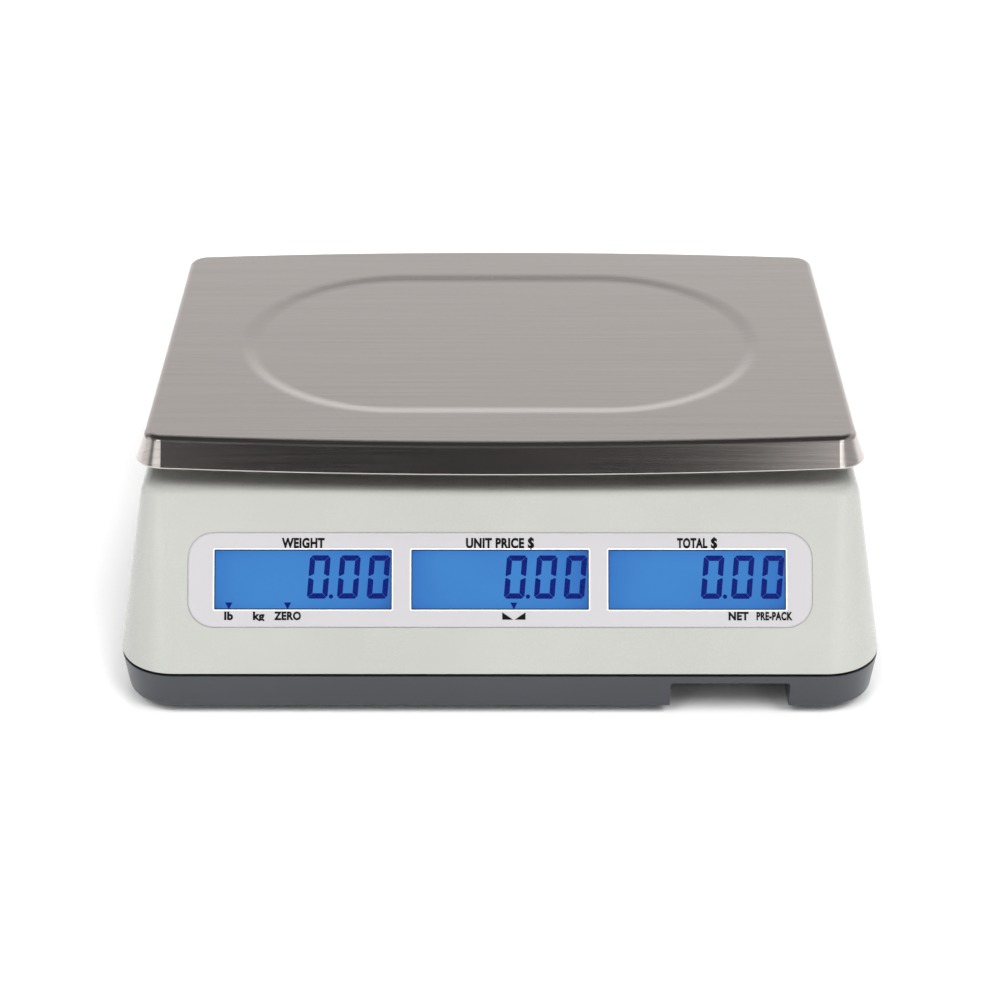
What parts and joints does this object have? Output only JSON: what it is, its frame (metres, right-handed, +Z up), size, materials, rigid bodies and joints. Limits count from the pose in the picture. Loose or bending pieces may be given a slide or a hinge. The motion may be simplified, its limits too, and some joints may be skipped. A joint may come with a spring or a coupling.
{
  "type": "retail price scale",
  "caption": "Low price-computing counter scale: sloped display face towards the customer, displays and keys towards the seller, lift-off steel platter, levelling feet.",
  "frame": {"origin": "on the counter under the middle of the housing's outline", "axes": "+X to the right of the customer who faces the display, -Y towards the customer, +Y towards the seller, +Z up"},
  "size_m": [0.3828, 0.3758, 0.129],
  "materials": {
    "platter": "brushed",
    "support_aluminium": "cast",
    "cell_aluminium": "machined",
    "zinc_steel": "zinc plated",
    "pad_rubber": "matte",
    "upper_plastic": "fine texture",
    "lower_plastic": "fine texture",
    "overlay_film": "satin film",
    "lcd_glass": "glossy",
    "light_box": "diffuse, lit",
    "board_laminate": "solder mask",
    "key_plastic": "satin",
    "mat_rubber": "matte silicone",
    "brass": "knurled",
    "black_plastic": "matte",
    "rocker_plastic": "gloss",
    "battery_case": "satin",
    "vial_clear": "clear"
  },
  "bodies": {
    "housing": {"upper_housing": "upper_plastic", "lower_housing": "lower_plastic", "platter_support": "support_aluminium", "platter_pads": "pad_rubber", "load_cell": "cell_aluminium", "load_cell_spacers": "zinc_steel", "load_cell_screws": "zinc_steel", "overload_stop_screws": "zinc_steel", "chassis": "support_aluminium", "chassis_screws": "zinc_steel", "foot_thread_inserts": "brass", "battery": "battery_case", "battery_cover": "lower_plastic", "battery_cover_screws": "zinc_steel", "power_switch_housing": "black_plastic", "power_inlet": "black_plastic", "main_board": "board_laminate", "level_bezel": "black_plastic", "level_vial": "vial_clear", "housing_screws": "zinc_steel", "customer_overlay": "overlay_film", "customer_lcd_panels": "lcd_glass", "customer_backlights": "light_box", "customer_display_board": "board_laminate", "seller_overlay": "overlay_film", "seller_lcd_panels": "lcd_glass", "seller_backlights": "light_box", "seller_display_board": "board_laminate", "keypad_mat": "mat_rubber", "board_screws": "zinc_steel"},
    "platter": {"platter": "platter", "platter_locating_cups": "platter"},
    "power_switch": {"power_switch_rocker": "rocker_plastic"},
    "foot_pad_front_left": {"foot_pad_front_left": "pad_rubber"},
    "foot_screw_front_left": {"foot_screw_front_left": "zinc_steel"},
    "foot_pad_front_right": {"foot_pad_front_right": "pad_rubber"},
    "foot_screw_front_right": {"foot_screw_front_right": "zinc_steel"},
    "foot_pad_rear_left": {"foot_pad_rear_left": "pad_rubber"},
    "foot_screw_rear_left": {"foot_screw_rear_left": "zinc_steel"},
    "foot_pad_rear_right": {"foot_pad_rear_right": "pad_rubber"},
    "foot_screw_rear_right": {"foot_screw_rear_right": "zinc_steel"},
    "key_7": {"key_7": "key_plastic"},
    "key_8": {"key_8": "key_plastic"},
    "key_9": {"key_9": "key_plastic"},
    "key_clear": {"key_clear": "key_plastic"},
    "key_4": {"key_4": "key_plastic"},
    "key_5": {"key_5": "key_plastic"},
    "key_6": {"key_6": "key_plastic"},
    "key_0": {"key_0": "key_plastic"},
    "key_1": {"key_1": "key_plastic"},
    "key_2": {"key_2": "key_plastic"},
    "key_3": {"key_3": "key_plastic"},
    "key_point": {"key_point": "key_plastic"},
    "key_zero": {"key_zero": "key_plastic"},
    "key_tare": {"key_tare": "key_plastic"},
    "key_unit": {"key_unit": "key_plastic"},
    "key_store": {"key_store": "key_plastic"},
    "key_prepack": {"key_prepack": "key_plastic"},
    "key_light": {"key_light": "key_plastic"}
  },
  "joints": [
    {"name": "platter_lift_off", "type": "slide", "parent": "housing", "child": "platter", "axis": [0, 0, 1], "range_m": [0, 0.04]},
    {"name": "power_switch_tip", "type": "hinge", "parent": "housing", "child": "power_switch", "pos_m": [-0.15, 0.076, 0.0145], "axis": [-1, 0, 0], "range_deg": [0, 20]},
    {"name": "foot_height_front_left", "type": "slide", "parent": "housing", "child": "foot_pad_front_left", "axis": [0, 0, -1], "range_m": [0, 0.008]},
    {"name": "foot_turn_front_left", "type": "hinge", "parent": "foot_pad_front_left", "child": "foot_screw_front_left", "pos_m": [-0.158, -0.135, 0.004], "axis": [0, 0, -1], "range_deg": [0, 2300]},
    {"name": "foot_height_front_right", "type": "slide", "parent": "housing", "child": "foot_pad_front_right", "axis": [0, 0, -1], "range_m": [0, 0.008]},
    {"name": "foot_turn_front_right", "type": "hinge", "parent": "foot_pad_front_right", "child": "foot_screw_front_right", "pos_m": [0.158, -0.135, 0.004], "axis": [0, 0, -1], "range_deg": [0, 2300]},
    {"name": "foot_height_rear_left", "type": "slide", "parent": "housing", "child": "foot_pad_rear_left", "axis": [0, 0, -1], "range_m": [0, 0.008]},
    {"name": "foot_turn_rear_left", "type": "hinge", "parent": "foot_pad_rear_left", "child": "foot_screw_rear_left", "pos_m": [-0.158, 0.135, 0.004], "axis": [0, 0, -1], "range_deg": [0, 2300]},
    {"name": "foot_height_rear_right", "type": "slide", "parent": "housing", "child": "foot_pad_rear_right", "axis": [0, 0, -1], "range_m": [0, 0.008]},
    {"name": "foot_turn_rear_right", "type": "hinge", "parent": "foot_pad_rear_right", "child": "foot_screw_rear_right", "pos_m": [0.158, 0.135, 0.004], "axis": [0, 0, -1], "range_deg": [0, 2300]},
    {"name": "press_7", "type": "slide", "parent": "housing", "child": "key_7", "axis": [0, -0.5225, -0.8526], "range_m": [0, 0.0012], "stiffness_N_per_m": 400, "springref_m": -0.0008},
    {"name": "press_8", "type": "slide", "parent": "housing", "child": "key_8", "axis": [0, -0.5225, -0.8526], "range_m": [0, 0.0012], "stiffness_N_per_m": 400, "springref_m": -0.0008},
    {"name": "press_9", "type": "slide", "parent": "housing", "child": "key_9", "axis": [0, -0.5225, -0.8526], "range_m": [0, 0.0012], "stiffness_N_per_m": 400, "springref_m": -0.0008},
    {"name": "press_clear", "type": "slide", "parent": "housing", "child": "key_clear", "axis": [0, -0.5225, -0.8526], "range_m": [0, 0.0012], "stiffness_N_per_m": 400, "springref_m": -0.0008},
    {"name": "press_4", "type": "slide", "parent": "housing", "child": "key_4", "axis": [0, -0.5225, -0.8526], "range_m": [0, 0.0012], "stiffness_N_per_m": 400, "springref_m": -0.0008},
    {"name": "press_5", "type": "slide", "parent": "housing", "child": "key_5", "axis": [0, -0.5225, -0.8526], "range_m": [0, 0.0012], "stiffness_N_per_m": 400, "springref_m": -0.0008},
    {"name": "press_6", "type": "slide", "parent": "housing", "child": "key_6", "axis": [0, -0.5225, -0.8526], "range_m": [0, 0.0012], "stiffness_N_per_m": 400, "springref_m": -0.0008},
    {"name": "press_0", "type": "slide", "parent": "housing", "child": "key_0", "axis": [0, -0.5225, -0.8526], "range_m": [0, 0.0012], "stiffness_N_per_m": 400, "springref_m": -0.0008},
    {"name": "press_1", "type": "slide", "parent": "housing", "child": "key_1", "axis": [0, -0.5225, -0.8526], "range_m": [0, 0.0012], "stiffness_N_per_m": 400, "springref_m": -0.0008},
    {"name": "press_2", "type": "slide", "parent": "housing", "child": "key_2", "axis": [0, -0.5225, -0.8526], "range_m": [0, 0.0012], "stiffness_N_per_m": 400, "springref_m": -0.0008},
    {"name": "press_3", "type": "slide", "parent": "housing", "child": "key_3", "axis": [0, -0.5225, -0.8526], "range_m": [0, 0.0012], "stiffness_N_per_m": 400, "springref_m": -0.0008},
    {"name": "press_point", "type": "slide", "parent": "housing", "child": "key_point", "axis": [0, -0.5225, -0.8526], "range_m": [0, 0.0012], "stiffness_N_per_m": 400, "springref_m": -0.0008},
    {"name": "press_zero", "type": "slide", "parent": "housing", "child": "key_zero", "axis": [0, -0.5225, -0.8526], "range_m": [0, 0.0012], "stiffness_N_per_m": 400, "springref_m": -0.0008},
    {"name": "press_tare", "type": "slide", "parent": "housing", "child": "key_tare", "axis": [0, -0.5225, -0.8526], "range_m": [0, 0.0012], "stiffness_N_per_m": 400, "springref_m": -0.0008},
    {"name": "press_unit", "type": "slide", "parent": "housing", "child": "key_unit", "axis": [0, -0.5225, -0.8526], "range_m": [0, 0.0012], "stiffness_N_per_m": 400, "springref_m": -0.0008},
    {"name": "press_store", "type": "slide", "parent": "housing", "child": "key_store", "axis": [0, -0.5225, -0.8526], "range_m": [0, 0.0012], "stiffness_N_per_m": 400, "springref_m": -0.0008},
    {"name": "press_prepack", "type": "slide", "parent": "housing", "child": "key_prepack", "axis": [0, -0.5225, -0.8526], "range_m": [0, 0.0012], "stiffness_N_per_m": 400, "springref_m": -0.0008},
    {"name": "press_light", "type": "slide", "parent": "housing", "child": "key_light", "axis": [0, -0.5225, -0.8526], "range_m": [0, 0.0012], "stiffness_N_per_m": 400, "springref_m": -0.0008}
  ],
  "couplings": [
    {"joint": "foot_height_front_left", "follows": "foot_turn_front_left", "m_per_rad": 0.00019894},
    {"joint": "foot_height_front_right", "follows": "foot_turn_front_right", "m_per_rad": 0.00019894},
    {"joint": "foot_height_rear_left", "follows": "foot_turn_rear_left", "m_per_rad": 0.00019894},
    {"joint": "foot_height_rear_right", "follows": "foot_turn_rear_right", "m_per_rad": 0.00019894}
  ]
}
